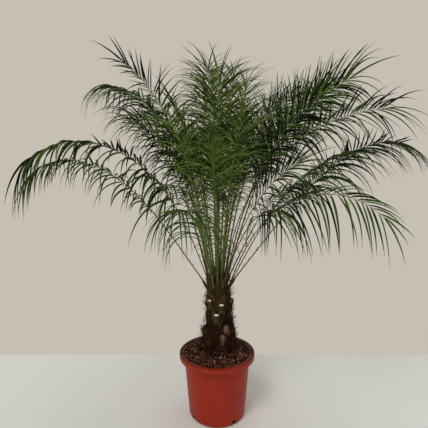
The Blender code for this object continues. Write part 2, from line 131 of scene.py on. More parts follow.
OWN_LEAVES = {
    4: dict(pitch=0.0112, leaf_w=0.0094, lift=-2.0, droop=2.1, open=56.0, leaf_l=0.108, grow=0.30, fade=0.0, tail=0.5, fall=0.25, tip=28.0, reach=0.110, rough=2.0, pale=0.65, crest=0.14, crest_end=0.55, crest_size=0.42),
    5: dict(lift=-18.0, droop=1.0, leaf_l=0.185, open=60.0, pitch=0.0160, leaf_w=0.0088, fade=0.35, high=0.75, grow=0.16, rough=0.8, pale=0.7),
    7: dict(leaf_l=0.185, leaf_w=0.0072, pitch=0.0115, droop=2.8, grow=0.05, open=58.0, pale=1.0, rough=1.3),
    8: dict(lift=-2.0, droop=1.5, pitch=0.0090, leaf_w=0.0084, open=52.0, leaf_l=0.150, basal=0.25, low=1.35, high=0.9, rough=1.3, crest=0.75, crest_far=True, crest_end=0.96, crest_size=0.60),
    9: dict(lift=8.0, droop=1.0, fresh=0.0, low=0.65, pitch=0.0125),
    10: dict(lift=10.0, droop=0.6, fresh=0.0, pitch=0.0072, leaf_w=0.0068, rough=1.6),
    13: dict(lift=0.0, droop=1.4, leaf_l=0.150, leaf_w=0.0070, fresh=0.0, pitch=0.0080, rough=1.5),
    17: dict(lift=0.0, droop=2.0, open=56.0, pitch=0.0112, leaf_w=0.0096, fresh=0.0, leaf_l=0.122, grow=0.02, fade=0.0, basal=0.7, tail=0.5, fall=0.25, tip=28.0, reach=0.125, rough=2.0, pale=0.65, crest=0.18, crest_end=0.60, crest_size=0.40),
    21: dict(lift=10.0, droop=0.9, leaf_l=0.150, leaf_w=0.0078, open=60.0, tip=36.0, pitch=0.0094, thin=0.3, fresh=0.0, high=1.10, low=1.0, tail=0.2),
    22: dict(lift=10.0, droop=2.0, leaf_l=0.152, leaf_w=0.0084, pitch=0.0088, grow=0.30, fresh=0.0, high=1.40),
    26: dict(lift=8.0, droop=0.60, fall=1.0, leaf_l=0.164, leaf_w=0.0080, pitch=0.0082, open=46.0, tip=29.0, rough=1.1, fade=0.16, thin=0.3, low=0.85, fresh=0.0),
    30: dict(lift=6.0, droop=0.5, leaf_l=0.122, pitch=0.0130, leaf_w=0.0084, open=58.0, tip=8.0, low=0.62, fresh=0.0, fade=0.22, reach=0.130, tail=0.9, tail_from=0.88, high=1.08),
    32: dict(leaf_l=0.112, leaf_w=0.0060, pitch=0.0092, open=54.0, droop=0.6, lift=8.0, fresh=0.0),
    35: dict(leaf_l=0.148, leaf_w=0.0060, pitch=0.0094, open=66.0, droop=1.1, lift=8.0, fresh=0.0),
    27: dict(fresh=0.3),
    15: dict(fresh=1.0, grow=0.6, pitch=0.0092),
    20: dict(fresh=1.0, grow=0.45),
    23: dict(fresh=1.0, grow=0.45),
    16: dict(fresh=0.0, pitch=0.0082),
    18: dict(fresh=0.0, pitch=0.0078, rough=1.5),
    29: dict(fresh=0.0, pitch=0.0084),
    34: dict(fresh=0.0),
    12: dict(fresh=0.1, pitch=0.0100),
    25: dict(fresh=0.3, pitch=0.0100),
    3: dict(lift=0.0, droop=1.6, leaf_l=0.150, fresh=0.0, grow=0.5),
    2: dict(leaf_l=0.150, leaf_w=0.0070, pitch=0.0125, droop=2.8, grow=0.1, open=44.0, fade=0.0, reach=0.075),
    1: dict(pitch=0.0190, fresh=0.0),
    6: dict(pitch=0.0150, leaf_l=0.135, fresh=0.0),
}


# ---------------------------------------------------------------- mesh building
class Soup:
    """Vertices and faces of many small closed shapes, gathered for one mesh."""

    def __init__(self):
        self.verts, self.groups, self.count = [], [], 0

    def add(self, verts, faces, slot=0):
        faces = np.asarray(faces, np.int64)
        slots = np.broadcast_to(np.asarray(slot, np.int32), (len(faces),))
        self.verts.append(np.asarray(verts, np.float64).reshape(-1, 3))
        self.groups.append((faces + self.count, slots))
        self.count += len(self.verts[-1])

    def add_more(self, faces, slot=0):
        """More faces on the vertices added last."""
        faces = np.asarray(faces, np.int64)
        slots = np.broadcast_to(np.asarray(slot, np.int32), (len(faces),))
        self.groups.append((faces + self.count - len(self.verts[-1]), slots))

    def build(self, name, mats, smooth=40.0):
        mesh = bpy.data.meshes.new(name)
        co = np.concatenate(self.verts)
        corners = np.concatenate([f.ravel() for f, _ in self.groups])
        sizes = np.concatenate([np.full(len(f), f.shape[1]) for f, _ in self.groups])
        slots = np.concatenate([s for _, s in self.groups])
        starts = np.concatenate([[0], np.cumsum(sizes)[:-1]])
        mesh.vertices.add(len(co))
        mesh.vertices.foreach_set("co", co.astype(np.float32).ravel())
        mesh.loops.add(len(corners))
        mesh.loops.foreach_set("vertex_index", corners.astype(np.int32))
        mesh.polygons.add(len(sizes))
        mesh.polygons.foreach_set("loop_start", starts.astype(np.int32))
        for mat in mats:
            mesh.materials.append(mat)
        mesh.polygons.foreach_set("material_index", slots.astype(np.int32))
        mesh.update(calc_edges=True)
        mesh.validate()
        mesh.shade_smooth()
        mesh.set_sharp_from_angle(angle=math.radians(smooth))
        obj = bpy.data.objects.new(name, mesh)
        bpy.context.scene.collection.objects.link(obj)
        return obj


def unit(v):
    return v / np.maximum(np.linalg.norm(v, axis=-1, keepdims=True), 1e-9)


def tube_faces(rings, sides):
    """Quads between consecutive rings of vertices; the ends are closed by tube_caps."""
    i = np.arange(sides)
    j = (i + 1) % sides
    ring = np.stack([i, j, j + sides, i + sides], 1)
    return (ring[None] + (np.arange(rings - 1) * sides)[:, None, None]).reshape(-1, 4)


def tube_caps(rings, sides):
    low = np.arange(sides)[::-1]
    high = np.arange(sides) + (rings - 1) * sides
    return np.stack([low, high])


def add_tube(soup, rings, slot=0):
    """rings is (count, sides, 3), the points of each ring counter-clockwise seen from the tube's end."""
    rings = np.asarray(rings, float)
    n, k = rings.shape[:2]
    soup.add(rings.reshape(-1, 3), tube_faces(n, k), slot)
    soup.add_more(tube_caps(n, k), slot)


def piece(obj, slot, *nodes):
    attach(obj, "root")
    if nodes:
        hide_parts(*nodes)
    return obj


# ---------------------------------------------------------------- materials
def material(name, roughness, metallic=0.0, specular=0.5):
    mat = bpy.data.materials.new(name)
    mat.use_nodes = True
    shader = mat.node_tree.nodes["Principled BSDF"]
    shader.inputs["Roughness"].default_value = roughness
    shader.inputs["Metallic"].default_value = metallic
    shader.inputs["Specular IOR Level"].default_value = specular
    return mat, mat.node_tree, shader


def linear(*rgb):
    """Linear colour from the usual 0 to 255 numbers."""
    out = []
    for c in rgb:
        c = c / 255.0
        out.append(c / 12.92 if c <= 0.04045 else ((c + 0.055) / 1.055) ** 2.4)
    return (*out, 1.0)


def mapped(tree, scale=(1.0, 1.0, 1.0)):
    coords = tree.nodes.new("ShaderNodeTexCoord")
    mapping = tree.nodes.new("ShaderNodeMapping")
    mapping.inputs["Scale"].default_value = scale
    tree.links.new(coords.outputs["Object"], mapping.inputs["Vector"])
    return mapping.outputs["Vector"]


def noise_node(tree, vector, scale, detail=3.0, rough=0.5):
    node = tree.nodes.new("ShaderNodeTexNoise")
    node.inputs["Scale"].default_value = scale
    node.inputs["Detail"].default_value = detail
    node.inputs["Roughness"].default_value = rough
    tree.links.new(vector, node.inputs["Vector"])
    return node.outputs["Fac"]


def ramp(tree, fac, *stops):
    node = tree.nodes.new("ShaderNodeValToRGB")
    elements = node.color_ramp.elements
    while len(elements) < len(stops):
        elements.new(0.5)
    for element, (place, colour) in zip(elements, stops):
        element.position = place
        element.color = colour
    tree.links.new(fac, node.inputs["Fac"])
    return node.outputs["Color"]


def mix(tree, fac, a, b):
    node = tree.nodes.new("ShaderNodeMix")
    node.data_type = "RGBA"
    for value, socket in ((fac, node.inputs["Factor"]), (a, node.inputs[6]), (b, node.inputs[7])):
        if isinstance(value, bpy.types.NodeSocket):
            tree.links.new(value, socket)
        else:
            socket.default_value = value
    return node.outputs[2]


def maths(tree, operation, a, b=0.0, clamp=False):
    node = tree.nodes.new("ShaderNodeMath")
    node.operation = operation
    node.use_clamp = clamp
    for value, socket in zip((a, b), node.inputs):
        if isinstance(value, bpy.types.NodeSocket):
            tree.links.new(value, socket)
        else:
            socket.default_value = value
    return node.outputs[0]


def height(tree):
    coords = tree.nodes.new("ShaderNodeTexCoord")
    split = tree.nodes.new("ShaderNodeSeparateXYZ")
    tree.links.new(coords.outputs["Object"], split.inputs[0])
    return split.outputs


def span(tree, value, low, high):
    """0 below low, 1 above high."""
    node = tree.nodes.new("ShaderNodeMapRange")
    node.inputs["From Min"].default_value = low
    node.inputs["From Max"].default_value = high
    tree.links.new(value, node.inputs["Value"])
    return node.outputs["Result"]


def bump(tree, shader, value, strength, distance):
    node = tree.nodes.new("ShaderNodeBump")
    node.inputs["Strength"].default_value = strength
    node.inputs["Distance"].default_value = distance
    tree.links.new(value, node.inputs["Height"])
    tree.links.new(node.outputs["Normal"], shader.inputs["Normal"])


def leaf_material(name, dark, light, roughness):
    mat, tree, shader = material(name, roughness, specular=0.12)
    patch = noise_node(tree, mapped(tree), 70.0, 3.0, 0.6)
    tree.links.new(ramp(tree, patch, (0.36, linear(*dark)), (0.64, linear(*light))), shader.inputs["Base Color"])
    return mat


def make_leaf_materials():
    return {
        "deep": leaf_material("leaflet_deep", (12, 20, 7), (28, 39, 12), 0.50),
        "green": leaf_material("leaflet_green", (50, 72, 18), (78, 106, 30), 0.48),
        "fresh": leaf_material("leaflet_fresh", (98, 116, 36), (134, 150, 58), 0.48),
        "blue": leaf_material("leaflet_blue_green", (36, 60, 34), (52, 80, 46), 0.44),
        "under": leaf_material("leaflet_underside_dark", (30, 42, 15), (50, 64, 25), 0.62),
        "pale": leaf_material("leaflet_underside_light", (66, 88, 32), (104, 126, 52), 0.62),
    }


def make_rib_material(name, low_z, high_z, foot_dark, foot_light, dark, light):
    """Brown at the foot and turning to the given greens between two heights."""
    mat, tree, shader = material(name, 0.48, specular=0.3)
    z = height(tree)[2]
    low = span(tree, z, low_z, high_z)
    streak = noise_node(tree, mapped(tree, (1.0, 1.0, 0.25)), 90.0, 3.0, 0.6)
    green = ramp(tree, streak, (0.30, linear(*dark)), (0.70, linear(*light)))
    brown = ramp(tree, streak, (0.30, linear(*foot_dark)), (0.70, linear(*foot_light)))
    tree.links.new(mix(tree, low, brown, green), shader.inputs["Base Color"])
    bump(tree, shader, streak, 0.25, 0.0008)
    return mat


def make_spine_material():
    mat, tree, shader = material("spine_green", 0.50)
    tone = noise_node(tree, mapped(tree), 60.0, 2.0, 0.5)
    tree.links.new(ramp(tree, tone, (0.3, linear(84, 88, 44)), (0.7, linear(130, 128, 78))), shader.inputs["Base Color"])
    return mat


def make_fibre_material(name, stops, stretch=0.10):
    mat, tree, shader = material(name, 0.92, specular=0.08)
    lines = noise_node(tree, mapped(tree, (1.0, 1.0, stretch)), 420.0, 4.0, 0.65)
    patch = noise_node(tree, mapped(tree), 42.0, 3.0, 0.55)
    both = maths(tree, "ADD", maths(tree, "MULTIPLY", lines, 0.55), maths(tree, "MULTIPLY", patch, 0.45))
    tree.links.new(ramp(tree, both, *stops), shader.inputs["Base Color"])
    bump(tree, shader, lines, 0.7, 0.0012)
    return mat


def make_plastic():
    mat, tree, shader = material("pot_red_brown_plastic", 0.42, specular=0.22)
    place = height(tree)
    cloud = noise_node(tree, mapped(tree), 16.0, 3.0, 0.55)
    red = ramp(tree, cloud, (0.30, linear(150, 37, 17)), (0.70, linear(164, 43, 21)))
    # darker brown patches on the flat of the collar, more of them towards the back, and splashes low on the wall
    grit = noise_node(tree, mapped(tree), 190.0, 4.0, 0.65)
    top = span(tree, place[2], POT_H - 0.0022, POT_H - 0.0006)
    back = span(tree, place[1], -0.095, 0.035)
    collar_dark_mask = maths(tree, "MULTIPLY", top, span(tree, maths(tree, "ADD", grit, maths(tree, "MULTIPLY", back, 0.30)), 0.46, 0.62), True)
    collar_darkened = mix(tree, maths(tree, "MULTIPLY", collar_dark_mask, 0.9), red, linear(58, 38, 30))
    low = maths(tree, "SUBTRACT", 1.0, span(tree, place[2], 0.002, 0.030), True)
    smear = maths(tree, "MULTIPLY", low, span(tree, grit, 0.48, 0.70), True)
    tree.links.new(mix(tree, maths(tree, "MULTIPLY", smear, 0.45), collar_darkened, linear(84, 52, 40)), shader.inputs["Base Color"])
    rough = maths(tree, "ADD", 0.36, maths(tree, "MULTIPLY", noise_node(tree, mapped(tree), 70.0, 4.0, 0.7), 0.16))
    tree.links.new(rough, shader.inputs["Roughness"])
    bump(tree, shader, noise_node(tree, mapped(tree), 900.0, 2.0, 0.5), 0.05, 0.0004)
    return mat


def make_soil_material(name, dark, light, scale=260.0):
    mat, tree, shader = material(name, 0.95, specular=0.08)
    grain = noise_node(tree, mapped(tree), scale, 5.0, 0.7)
    patch = noise_node(tree, mapped(tree), 38.0, 2.0, 0.5)
    both = maths(tree, "ADD", maths(tree, "MULTIPLY", grain, 0.65), maths(tree, "MULTIPLY", patch, 0.35))
    soil_colour = ramp(tree, both, (0.34, linear(*dark)), (0.66, linear(*light)))
    # painted shade: nearly black at the foot, standing in for the shadow inside the drain slots where they show the
    # soil
    painted_slot_shade = ramp(tree, both, (0.34, linear(4, 2, 2)), (0.66, linear(24, 12, 8)))
    # the painted slot shade holds below 3 cm and fades to the soil's own colour by 6 cm
    tree.links.new(mix(tree, span(tree, height(tree)[2], 0.030, 0.060), painted_slot_shade, soil_colour), shader.inputs["Base Color"])
    bump(tree, shader, grain, 0.8, 0.002)
    return mat


# ---------------------------------------------------------------- fronds
def lerp(pair, t):
    return pair[0] + (pair[1] - pair[0]) * t


def frond_sizes(number):
    age = (number - 1) / (FROND_COUNT - 1)
    f = dict(
        name="%02d" % number,
        number=number,
        age=age,
        seat=SPIRAL * number % 360.0,
        rise=lerp(RISE, age ** 0.9),
        end=lerp(END, age ** END_POWER),
        bend=lerp(BEND, age),
        length=lerp(LENGTH, age) + (MIDDLE_LENGTH - sum(LENGTH) / 2) * math.sin(math.pi * age),
        seat_r=FROND_RING_R * math.sqrt(1.0 - (number - 0.5) / FROND_COUNT),
        lift=lerp(LIFT, age),
        droop=lerp(DROOP, min(1.0, age / 0.5)),
        leaf_l=lerp(LEAFLET_L, age),
        leaf_w=lerp(LEAFLET_W, age),
        pitch=LEAFLET_PITCH,
        open=lerp(OPEN_ANGLE, min(1.0, age / 0.6)),
        tip=TIP_ANGLE,
        grow=0.30,
        start=BLADE_START,
        basal=0.0,
        tail=0.0,
        tail_from=0.78,
        fall=0.0,
        crest=0.0,
        crest_end=0.86,
        crest_size=0.55,
        crest_far=False,
        thin=0.0,
        low=1.0,
        high=1.0,
        pale=0.0,
        fade=0.20,
        rough=1.0 if number < 12 else 1.7,
        reach=lerp(TIP_REACH, age),
        twist=0.0,
        fresh=min(1.0, max(0.0, (age - 0.25) / 0.45)),
    )
    f["turn"] = f["seat"]
    f.update(OWN_SHAPE.get(number, {}))
    f.update(OWN_LEAVES.get(number, {}))
    return f


class CentreLine:
    """Places and directions along the middle of a frond, read at any share of its length."""

    def __init__(self, f, count=160):
        s = np.linspace(0.0, 1.0, count + 1)
        up = np.radians(f["rise"] + (f["end"] - f["rise"]) * s ** f["bend"])
        turn = np.full(count + 1, math.radians(f["turn"]))
        self.s = s
        self.along = np.stack([np.cos(up) * np.cos(turn), np.cos(up) * np.sin(turn), np.sin(up)], 1)
        seat = math.radians(f["seat"])
        start = np.array([TRUNK_X + f["seat_r"] * math.cos(seat), f["seat_r"] * math.sin(seat), FROND_BASE_Z])
        steps = (self.along[:-1] + self.along[1:]) * (0.5 * f["length"] / count)
        self.points = np.concatenate([[start], start + np.cumsum(steps, 0)])
        self.side = np.array([-math.sin(turn[0]), math.cos(turn[0]), 0.0])
        self.rib_end = 1.0 - f["reach"] / f["length"]
        self.twist = f["twist"]

    def at(self, s):
        """Place, direction, side and upper face at shares of the frond's length."""
        s = np.atleast_1d(s)
        p = np.stack([np.interp(s, self.s, self.points[:, k]) for k in range(3)], 1)
        t = unit(np.stack([np.interp(s, self.s, self.along[:, k]) for k in range(3)], 1))
        b = np.broadcast_to(self.side, t.shape)
        m = np.cross(t, b)
        roll = np.radians(self.twist * np.minimum(1.0, s / TWIST_END))[:, None]
        return p, t, b * np.cos(roll) + m * np.sin(roll), m * np.cos(roll) - b * np.sin(roll)


def leaflet_meshes(soup, base, along, face, length, width, droop, curl, slots, under):
    """Closed folded blades: each ring is left edge, keel below, right edge, keel above."""
    n, steps = len(base), LEAFLET_STEPS
    down = np.array([0.0, 0.0, -1.0])
    point, d = base.copy(), along.copy()
    normal = unit(face - d * (face * d).sum(1, keepdims=True))
    rings = np.zeros((n, steps + 1, 4, 3))
    for k in range(steps + 1):
        u = k / steps
        side = np.cross(d, normal)
        grow = 0.30 + 0.70 * min(1.0, u / 0.16) ** 0.7
        shut = (1.0 - u ** 1.7) ** 0.95
        w = np.maximum(width * grow * shut, 0.0005)[:, None]
        fold = math.radians(46.0 - 16.0 * u)
        rise = normal * w * 0.5 * math.sin(fold)
        across = side * w * 0.5 * math.cos(fold)
        thick = normal * 0.00028 * (1.0 - 0.6 * u)
        rings[:, k, 0] = point - across + rise
        rings[:, k, 1] = point - thick
        rings[:, k, 2] = point + across + rise
        rings[:, k, 3] = point + thick
        if k == steps:
            break
        um = (k + 0.5) / steps
        fall = down - d * (d @ down)[:, None]
        new = unit(d + fall * (droop * (0.60 + 0.8 * um) / steps)[:, None] + side * (curl / steps)[:, None])
        normal = unit(normal - new * (normal * new).sum(1, keepdims=True))
        point = point + new * (length / steps)[:, None]
        d = new
    faces = np.concatenate([tube_faces(steps + 1, 4), tube_caps(steps + 1, 4)])
    # faces 0 and 1 of each ring step are below, 2 and 3 above
    below = np.tile([True, True, False, False], steps)
    below = np.concatenate([below, [False, False]])
    per = (steps + 1) * 4
    every = (faces[None] + (np.arange(n) * per)[:, None, None]).reshape(-1, 4)
    slot = np.where(below[None], np.asarray(under)[:, None], np.asarray(slots)[:, None]).reshape(-1)
    soup.add(rings.reshape(-1, 3), every, slot)


def rib_rings(line, f):
    """Rings of the petiole and rib: a clasping foot, channelled above, tapering to the tip."""
    s = np.concatenate([np.linspace(0.0, 0.10, 9), np.linspace(0.10, line.rib_end, 46)[1:]])
    p, t, b, m = line.at(s)
    s = s * np.where(s > f["start"], 1.0 + (1.0 / line.rib_end - 1.0) * (s - f["start"]) / (line.rib_end - f["start"]), 1.0)
    size = (0.86 + 0.14 * min(1.0, f["length"] / 0.8)) * (0.80 if f["number"] in BROWN_RIBS else 1.0)
    half = np.interp(s, [0.0, 0.03, 0.09, 0.30, 0.60, 1.0], [0.0080, 0.0058, 0.0032, 0.0023, 0.0017, 0.0006]) * size
    deep = np.interp(s, [0.0, 0.03, 0.09, 0.30, 0.60, 1.0], [0.0036, 0.0034, 0.0031, 0.0026, 0.0019, 0.0006]) * size
    angles = np.radians(np.arange(10) * 36.0 + 18.0)
    x = np.cos(angles)[None] * half[:, None]
    y = np.sin(angles)[None] * deep[:, None]
    hollow = np.where(y > 0, 0.30 - 0.5 * np.exp(-(np.cos(angles)[None] / 0.45) ** 2) * np.clip(1.0 - s[:, None] / 0.5, 0, 1), 1.0)
    y = y * hollow
    rings = p[:, None] + b[:, None] * x[..., None] + m[:, None] * y[..., None]
    rings[0] = rings[0] + t[0] * ((FROND_BASE_Z - 0.004 - rings[0][:, 2]) / max(t[0][2], 0.2))[:, None]
    return rings


def make_frond(number, leaf_mats, rib_soup, spine_soup):
    f = frond_sizes(number)
    line = CentreLine(f)
    r = np.random.default_rng(1000 + number)
    pick = np.random.default_rng(3000 + number)
    add_tube(rib_soup, rib_rings(line, f), 1 if number in BROWN_RIBS else 0)

    # leaflets in pairs, a little out of step
    blade = f["length"] * (line.rib_end - f["start"])
    pairs = max(9, int(round(blade / f["pitch"])))
    soup = Soup()
    for sign in (-1.0, 1.0):
        t01 = (np.arange(pairs) + 0.5 + (0.25 if sign > 0 else -0.15) + r.uniform(-0.22, 0.22, pairs)) / pairs
        t01 = np.clip(t01, 0.0, 1.0)
        s = f["start"] + (line.rib_end - f["start"]) * t01
        p, t, b, m = line.at(s)
        out = b * sign
        angle = np.radians(f["open"] + (f["tip"] - f["open"]) * t01 ** 2.2 + r.normal(0.0, 5.5 * f["rough"], pairs))
        angle[-1] = math.radians(8.0)
        lift = np.radians(f["lift"] + r.normal(0.0, 11.0 * f["rough"], pairs)) * (1.0 - 0.5 * t01)
        # some leaflets of the arching fronds stand up from the rib, or all those on its far side
        stands = (pick.random(pairs) < f["crest"]) & (t01 > 0.10) & (t01 < f["crest_end"])
        if f["crest_far"] and out[:, 1].mean() < 0.0:
            stands[:] = False
        lift = np.where(stands, lift + math.radians(60.0), lift)
        along = unit(t * np.cos(angle)[:, None] + (out * np.cos(lift)[:, None] + m * np.sin(lift)[:, None]) * np.sin(angle)[:, None])
        face = m * np.cos(lift)[:, None] - out * np.sin(lift)[:, None]
        tip = np.radians(r.normal(16.0, 20.0, pairs)) * sign
        cross = np.cross(along, face)
        face = face * np.cos(tip)[:, None] + cross * np.sin(tip)[:, None]
        size = np.clip(0.16 + 0.84 * (t01 / f["grow"]) ** 0.9, 0.0, 1.0) * (1.0 - f["fade"] * t01 ** 1.6)
        if sign * f["twist"] <= 0.0:
            size = size * (1.0 + f["basal"] * np.clip(1.0 - t01 / 0.35, 0.0, 1.0))
        size = size * (1.0 + f["tail"] * np.clip((t01 - f["tail_from"]) / 0.22, 0.0, 1.0))
        if sign * f["twist"] < 0.0:
            # on the side that hangs, the first leaflets can be short
            size = size * f["low"] * (1.0 - f["thin"] * np.clip(1.6 - t01 / 0.35, 0.0, 1.0))
        elif sign * f["twist"] > 0.0:
            size = size * f["high"]
        length = f["leaf_l"] * size * r.normal(1.0, 0.055 * f["rough"], pairs) * np.where(stands, f["crest_size"], 1.0)
        width = f["leaf_w"] * (0.62 + 0.38 * size) * r.normal(1.0, 0.08, pairs)
        droop = f["droop"] * (1.0 + f["fall"] * np.clip((t01 - 0.70) / 0.25, 0.0, 1.0)) * r.normal(1.0, 0.16, pairs) * np.where(stands, 0.25, 1.0)
        curl = -sign * np.abs(r.normal(0.16, 0.12, pairs))
        rib = np.interp(t01, [0.0, 0.45, 1.0], [0.0028, 0.0019, 0.0005])
        base = p + out * rib[:, None] * 0.8 + m * rib[:, None] * 0.12
        outer = SHADES_OUTER * (1.0 - f["pale"]) + SHADES_PALE * f["pale"]
        shades = r.choice(4, pairs, p=outer * (1.0 - f["fresh"]) + SHADES_INNER * f["fresh"])
        shades[stands] = 0
        leaflet_meshes(soup, base, along, face, length, width, droop, curl, shades, np.where((shades == 0) | (shades == 3), 4, 5))
    name = f["name"]
    obj = soup.build("leaflets_" + name, [leaf_mats[k] for k in ("deep", "green", "fresh", "blue", "under", "pale")], 22.0)
    nodes = ["frond_" + name] + (["frond_" + name + "_tip"] if "frond_" + name + "_tip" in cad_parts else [])
    piece(obj, "frond_green", *nodes)

    # short stiff spines along both edges of the petiole
    count = 9
    for sign in (-1.0, 1.0):
        s = np.linspace(0.10, f["start"] - 0.012, count) + r.uniform(-0.008, 0.008, count)
        p, t, b, m = line.at(s)
        out = b * sign
        angle = np.radians(r.uniform(28.0, 58.0, count))
        lift = np.radians(r.normal(25.0, 16.0, count))
        along = unit(t * np.cos(angle)[:, None] + (out * np.cos(lift)[:, None] + m * np.sin(lift)[:, None]) * np.sin(angle)[:, None])
        length = np.interp(s, [0.10, f["start"]], [0.010, 0.036]) * r.uniform(0.75, 1.2, count) * (1.0 if number < 13 else 0.6)
        for i in range(count):
            add_spine(spine_soup, p[i] + out[i] * 0.0026, along[i], m[i], length[i], 0.0011)


def add_spine(soup, base, along, normal, length, thick):
    side = unit(np.cross(along, normal))
    up = np.cross(side, along)
    rings = []
    for u, w in ((0.0, 1.0), (0.45, 0.72), (0.8, 0.42), (1.0, 0.08)):
        centre = base + along * (length * u) - np.array([0.0, 0.0, 0.06 * length * u * u])
        ring = [centre + (side * math.cos(a) + up * math.sin(a)) * thick * w for a in (0.0, 2.0944, 4.1888)]
        rings.append(ring)
    add_tube(soup, np.array(rings)[:, ::-1] if np.dot(np.cross(side, up), along) < 0 else rings)


# ---------------------------------------------------------------- trunk
def trunk_radius(z):
    zs, rs = zip(*TRUNK_PROFILE)
    return np.interp(z, zs, rs)


def make_trunk(mats):
    """The stem under its old leaf bases: rough, widest at the foot, with strips of leaf sheath above."""
    soup = Soup()
    rows, sides = 90, 110
    rings = np.zeros((rows, sides, 3))
    for i in range(rows):
        z = 0.2120 + (TRUNK_TOP_Z - 0.2120) * i / (rows - 1)
        r0 = float(trunk_radius(z)) - 0.0022
        for j in range(sides):
            a = 2.0 * math.pi * j / sides
            q = Vector((math.cos(a) * 14.0 * r0, math.sin(a) * 14.0 * r0, z * 9.0))
            lump = noise.noise(q * 3.0) * 0.0030 + noise.noise(q * 9.0) * 0.0016
            if z > 0.392:
                r0 = r0 * (1.0 - 0.55 * ((z - 0.392) / (TRUNK_TOP_Z - 0.392)) ** 2)
            groove = abs(noise.noise(Vector((math.cos(a) * 5.0, math.sin(a) * 5.0, z * 6.0)) * 1.6)) * 0.0035
            r = r0 + lump - groove + 0.0010
            rings[i, j] = (TRUNK_X + r * math.cos(a), r * math.sin(a), z)
    add_tube(soup, rings)

    # leaf sheaths: each wraps the upper stem, narrows and runs on up the back of its petiole
    for number in range(1, 25):
        f = frond_sizes(number)
        a0 = math.radians(f["seat"])
        line = CentreLine(f)
        r = np.random.default_rng(500 + number)
        low = 0.298 + 0.0030 * number + r.uniform(-0.008, 0.008)
        climb = r.uniform(0.034, 0.050) / f["length"]
        rings = []
        for u in np.linspace(0.0, 1.0, 22):
            v = min(1.0, u / 0.62)                       # share of the way up the stem
            z = low + (FROND_BASE_Z - 0.006 - low) * v
            outer = float(trunk_radius(z)) - 0.0010
            stem = np.array([TRUNK_X + outer * math.cos(a0), outer * math.sin(a0), z])
            p, t, b, m = line.at(max(0.0, u - 0.62) / 0.38 * climb)
            behind = p[0] - m[0] * 0.0042
            blend = np.clip((u - 0.38) / 0.30, 0.0, 1.0)
            blend = blend * blend * (3.0 - 2.0 * blend)
            centre = stem * (1.0 - blend) + behind * blend
            out = unit(np.array([math.cos(a0), math.sin(a0), 0.0]) * (1.0 - blend) - m[0] * blend)
            side = unit(np.array([-math.sin(a0), math.cos(a0), 0.0]) * (1.0 - blend) + b[0] * blend * (1.0 if np.dot(b[0], [-math.sin(a0), math.cos(a0), 0.0]) > 0 else -1.0))
            half = np.interp(u, [0.0, 0.10, 0.45, 0.70, 1.0], [0.0030, 0.0066, 0.0066, 0.0052, 0.0028])
            thick = np.interp(u, [0.0, 0.15, 0.60, 0.85, 1.0], [0.0006, 0.0034, 0.0046, 0.0028, 0.0004])
            ring = []
            for x, y in ((-1.0, -0.9), (1.0, -0.9), (1.0, 0.0), (0.62, 0.72), (0.0, 1.0), (-0.62, 0.72), (-1.0, 0.0)):
                wear = 0.0005 * noise.noise(Vector((x * 2.0 + number, y * 2.0, u * 9.0)))
                ring.append(centre + side * x * half * (1.0 + 0.10 * noise.noise(Vector((number, u * 7.0, 3.0)))) + out * (y * thick + wear))
            rings.append(ring)
        add_tube(soup, rings, 1)

    # worn stubs of older leaf bases, lower down the same spiral; two in front are bleached
    for k in range(1, 18):
        turned, raised = {5: (10.0, 0.0175), 13: (14.0, 0.0360)}.get(k, (0.0, 0.0))
        a0 = math.radians(BOOT_FIRST - SPIRAL * k + turned)
        r = np.random.default_rng(700 + k)
        top = 0.311 - 0.0056 * k + r.uniform(-0.003, 0.003) + raised
        foot = top - 0.030
        rings = []
        for u in np.linspace(0.0, 1.0, 9):
            z = max(0.2110, foot + (top - foot) * u)
            inner = float(trunk_radius(z)) - 0.0035
            half = (0.0112 - 0.0036 * u) * (1.0 if u < 0.99 else 0.6)
            thick = 0.0030 + 0.0068 * u * (1.0 if u < 0.99 else 0.80)
            ring = []
            for x, y in ((-1.0, 0.0), (1.0, 0.0), (0.95, 0.5), (0.5, 0.95), (0.0, 1.0), (-0.5, 0.95), (-0.95, 0.5)):
                a = a0 + x * half / inner
                rr = inner + y * thick + 0.0016 * noise.noise(Vector((x * 2.0 + k, y * 2.0, z * 140.0)))
                ring.append((TRUNK_X + rr * math.cos(a), rr * math.sin(a), z + u * 0.001 + 0.0035 * noise.noise(Vector((x * 3.0, y * 3.0, k))) * (u > 0.9)))
            rings.append(ring)
        add_tube(soup, rings, 2 if k in (5, 13) else 0)

    # blunt root tips crowded round the foot
    r = np.random.default_rng(900)
    for k in range(260):
        a = r.uniform(0.0, 2.0 * math.pi)
        z = 0.2135 + 0.066 * r.random() ** 1.3
        rad = float(trunk_radius(z)) - 0.003
        out = np.array([math.cos(a), math.sin(a), 0.0])
        along = unit(out + np.array([0.0, 0.0, -r.uniform(0.4, 1.8)]) + np.array([-math.sin(a), math.cos(a), 0.0]) * r.normal(0.0, 0.4))
        base = np.array([TRUNK_X, 0.0, z]) + out * rad
        long = r.uniform(0.006, 0.013)
        thick = r.uniform(0.0014, 0.0028)
        side = unit(np.cross(along, [0.0, 0.0, 1.0]))
        up = np.cross(side, along)
        rings = []
        for u, w in ((0.0, 1.1), (0.4, 1.0), (0.75, 0.85), (0.94, 0.5), (1.0, 0.12)):
            centre = base + along * long * u + np.array([0.0, 0.0, -0.2 * long * u * u])
            rings.append([centre + (side * math.cos(q) + up * math.sin(q)) * thick * w for q in np.radians([0, 60, 120, 180, 240, 300])[::-1]])
        add_tube(soup, rings, 0)
    obj = soup.build("trunk_stem", mats, 50.0)
    return piece(obj, "trunk_fibre", "trunk")


